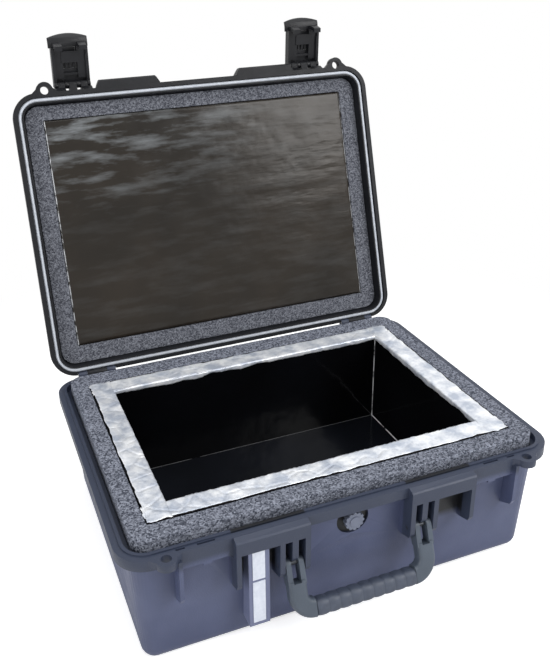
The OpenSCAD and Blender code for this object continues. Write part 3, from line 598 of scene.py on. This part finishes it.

# The lid's vacuum panel
# A flat board sealed in a dark metallised film, drawn tight by the vacuum, so its face is full of
# shallow wrinkles. Grey streaks of painted reflection lie towards the open lid's upper left, and
# foil shows along its folded edges, painted bright as glints.


def metallised_film(name):
    """Dark metallised film: glossy brown-black, with drawn-out grey streaks of painted reflection
    and broken edge glints of foil, painted bright.

    The painted reflection streaks are a speckle of 14 mm stretched to 70 mm, and they grow stronger
    towards the open lid's upper left. The wrinkles are stretched in the same way.
    """
    made, tree, coords = start_material(name)
    x, _, z = add(tree, "SeparateXYZ", {"Vector": coords}, out=slice(3))
    drawn = add(tree, "Mapping", {"Vector": coords, "Scale": (0.2, 1, 1),
                                  "Rotation": (0, 0.12, 0)})
    streaks = speckle(tree, drawn, 0.014, detail=5, rough=0.6, low=0.46, high=0.72)
    leftward = add(tree, "MapRange", {"Value": x, "From Min": 0.1, "From Max": -0.16})
    upward = add(tree, "MapRange", {"Value": z, "From Min": 0.33, "From Max": 0.46})
    corner = add(tree, "Math", {0: leftward, 1: upward}, operation="MULTIPLY")
    strength = add(tree, "MapRange", {"Value": corner, "From Max": 0.9, "To Min": 0.05,
                                      "To Max": 0.8})
    painted_reflection = add(tree, "Math", {0: streaks, 1: strength}, operation="MULTIPLY")
    side = add(tree, "Math", {0: x}, operation="ABSOLUTE")
    edge = add(tree, "MapRange", {"Value": side, "From Min": film_half[0] - 0.0014,
                                  "From Max": film_half[0] - 0.0006})
    broken = speckle(tree, coords, 0.012, detail=5, rough=0.6, low=0.42, high=0.52)
    glint = add(tree, "Math", {0: edge, 1: broken}, operation="MULTIPLY")
    tone = mottled(tree, coords, "#1c1813", "#28221b", 0.1)
    # Painted reflection in grey streaks, then the foil edges painted bright as glints.
    for share, colour in ((painted_reflection, "#969b9f"), (glint, "#c3c5c9")):
        tone = add(tree, "Mix", {"Factor": share, 6: tone, 7: colour}, out=2, data_type="RGBA")
    shine = add(tree, "MapRange", {"Value": speckle(tree, coords, 0.03, detail=3),
                                   "To Min": 0.14, "To Max": 0.26})
    finish_material(tree, {"Base Color": tone, "Metallic": 0.1, "Roughness": shine, "IOR": 1.5,
                           "Specular IOR Level": 0.3},
                    speckle(tree, drawn, 0.02, detail=3), strength=0.3, depth=0.0009)
    return made


def wrinkled_panel(name, low, high, seed):
    """A board with round edges: its face is a grid with wrinkles, and its sides run back from it.

    A wrinkle is a wide noise squared, plus half the size of a finer one. Within the edge's width
    the face falls back, by the square of how near the side a point is.
    """
    edge, wrinkle_depth, edge_fall = 0.0015, 0.00022, 0.0012
    lines = []
    for axis, count in ((0, 190), (1, 134)):
        inside = np.linspace(low[axis] + edge * 0.3, high[axis] - edge * 0.3, count)
        lines.append(np.concatenate([[low[axis]], inside, [high[axis]]]))
    x, y = (np.pad(line, 1, mode="edge") for line in np.meshgrid(*lines))
    wrinkles = (smooth_noise(x.shape, 5, seed) ** 2
                + 0.5 * np.abs(smooth_noise(x.shape, 2.2, seed + 1)))
    inset = np.minimum.reduce([x - low[0], high[0] - x, y - low[1], high[1] - y])
    z = low[2] + wrinkle_depth * wrinkles + edge_fall * np.clip(1 - inset / edge, 0, 1) ** 2
    z[[0, -1], :] = high[2]
    z[:, [0, -1]] = high[2]
    return mesh_from_grid(name, about_hinge(np.stack([x, y, z], 2), -lid_turn))


lid_panel = wrinkled_panel("lid_vacuum_panel", film_low, film_high, seed=71)
lid_panel.data.flip_normals()
lid_panel.data.materials.append(metallised_film("metallised barrier film"))
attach(lid_panel, "lid")
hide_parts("lid_panel")

# The latches
# Two moulded latches in black glass-filled nylon, each with a release button in its window. They
# turn on steel pins in the lid's lugs. Their edges are rounded by the mould.
latch_nylon = moulded_plastic("moulded nylon, latches", "#121316", "#1c1d21", rough=0.36,
                              sheen=0.3)
latch_bodies = ["left_latch_body", "right_latch_body"]
latch_buttons = ["left_latch_button", "right_latch_button"]
paint(latch_bodies + latch_buttons, latch_nylon)
soften(latch_bodies, width=0.0005)
soften(latch_buttons, width=0.0003)

# The camera
# It stands in front, above and a little to the left. Its place, angles, focal length and image
# centre were solved from the straight edges of the case, in pixels of a 550 by 671 image.
image_width, image_height = 550, 671
focal_length = 821.6
centre_x, centre_y = 244.2, 272.3
camera_at = (-0.3363, -0.7657, 0.6758)


def camera_axes(turn, rise, roll):
    """Right, up and back directions of a camera turned round Z, raised, then rolled, in degrees."""
    a, e, r = (math.radians(v) for v in (turn, rise, roll))
    back = np.array([math.sin(a) * math.cos(e), -math.cos(a) * math.cos(e), math.sin(e)])
    right = np.cross([0, 0, 1], back)
    right /= np.linalg.norm(right)
    up = np.cross(back, right)
    return math.cos(r) * right + math.sin(r) * up, math.cos(r) * up - math.sin(r) * right, back


lens = bpy.data.cameras.new("camera")
lens.sensor_width = 36
lens.sensor_fit = "AUTO"
lens.lens = focal_length / image_height * lens.sensor_width
lens.shift_x = (image_width / 2 - centre_x) / image_height
lens.shift_y = (centre_y - image_height / 2) / image_height
lens.clip_start = 0.02
camera = bpy.data.objects.new("camera", lens)
scene.collection.objects.link(camera)
axes = Matrix(camera_axes(turn=-20.58, rise=22.74, roll=-1.48)).transposed()
camera.matrix_world = Matrix.Translation(camera_at) @ axes.to_4x4()
scene.camera = camera

# The light
# Three wide and soft lamps, the strongest from the front right, under a white surround. Its light
# is weaker than it looks: it has a strength of 1 only for the camera and in reflections.


def soft_lamp(name, at, target, size, watts):
    """A square area lamp that faces a target: its back points from the target to the lamp."""
    lamp = bpy.data.lights.new(name, "AREA")
    lamp.size = size
    lamp.energy = watts
    holder = bpy.data.objects.new(name, lamp)
    scene.collection.objects.link(holder)
    back = np.array(at, float) - np.array(target, float)
    back /= np.linalg.norm(back)
    right = np.cross([0, 0, 1], back)
    right /= np.linalg.norm(right)
    facing = Matrix((right, np.cross(back, right), back)).transposed()
    holder.matrix_world = Matrix.Translation(at) @ facing.to_4x4()


soft_lamp("key_lamp", (1.5, -1.7, 1.7), (0, 0, 0.2), size=1.4, watts=38)
soft_lamp("fill_lamp", (-1.9, -0.9, 1.1), (0, 0, 0.15), size=1.2, watts=16)
soft_lamp("top_lamp", (0.1, 0.1, 2.3), (0, 0, 0.1), size=1.6, watts=14)

world = bpy.data.worlds.new("studio")
scene.world = world
world.use_nodes = True
sky = world.node_tree
sky.nodes.clear()
seen = add(sky, "Math", {0: add(sky, "LightPath", out="Is Camera Ray"),
                         1: add(sky, "LightPath", out="Is Glossy Ray")}, operation="MAXIMUM")
light = add(sky, "Background", {"Color": "#ffffff", "Strength": 0.55})
white = add(sky, "Background", {"Color": "#ffffff", "Strength": 1.0})
add(sky, "OutputWorld", {"Surface": add(sky, "MixShader", {0: seen, 1: light, 2: white})})
scene.view_settings.view_transform = "Standard"

# The table
# A plain white table. It keeps the object's shadow, and what the camera sees of it turns to plain
# white from 420 to 850 mm away, so that no horizon shows.


def white_table():
    """Matt white paper with a lift for the camera alone, which becomes pure white further off."""
    made, tree, coords = start_material("white table")
    paper = add(tree, "BsdfDiffuse", {"Color": "#f4f4f4"})
    lift = add(tree, "Emission", {"Color": "#ffffff", "Strength": 0.55})
    near = add(tree, "AddShader", {0: paper, 1: lift})
    far = add(tree, "Emission", {"Color": "#ffffff", "Strength": 1.0})
    away = add(tree, "VectorMath", {0: coords}, out="Value", operation="LENGTH")
    share = add(tree, "MapRange", {"Value": away, "From Min": 0.42, "From Max": 0.85},
                interpolation_type="SMOOTHSTEP")
    shown = add(tree, "MixShader", {0: share, 1: near, 2: far})
    to_camera = add(tree, "LightPath", out="Is Camera Ray")
    add(tree, "OutputMaterial",
        {"Surface": add(tree, "MixShader", {0: to_camera, 1: paper, 2: shown})})
    return made


floor_mesh = bpy.data.meshes.new("floor")
floor_mesh.from_pydata([(-6, -6, 0), (6, -6, 0), (6, 6, 0), (-6, 6, 0)], [], [(0, 1, 2, 3)])
floor_mesh.materials.append(white_table())
floor = bpy.data.objects.new("floor", floor_mesh)
scene.collection.objects.link(floor)
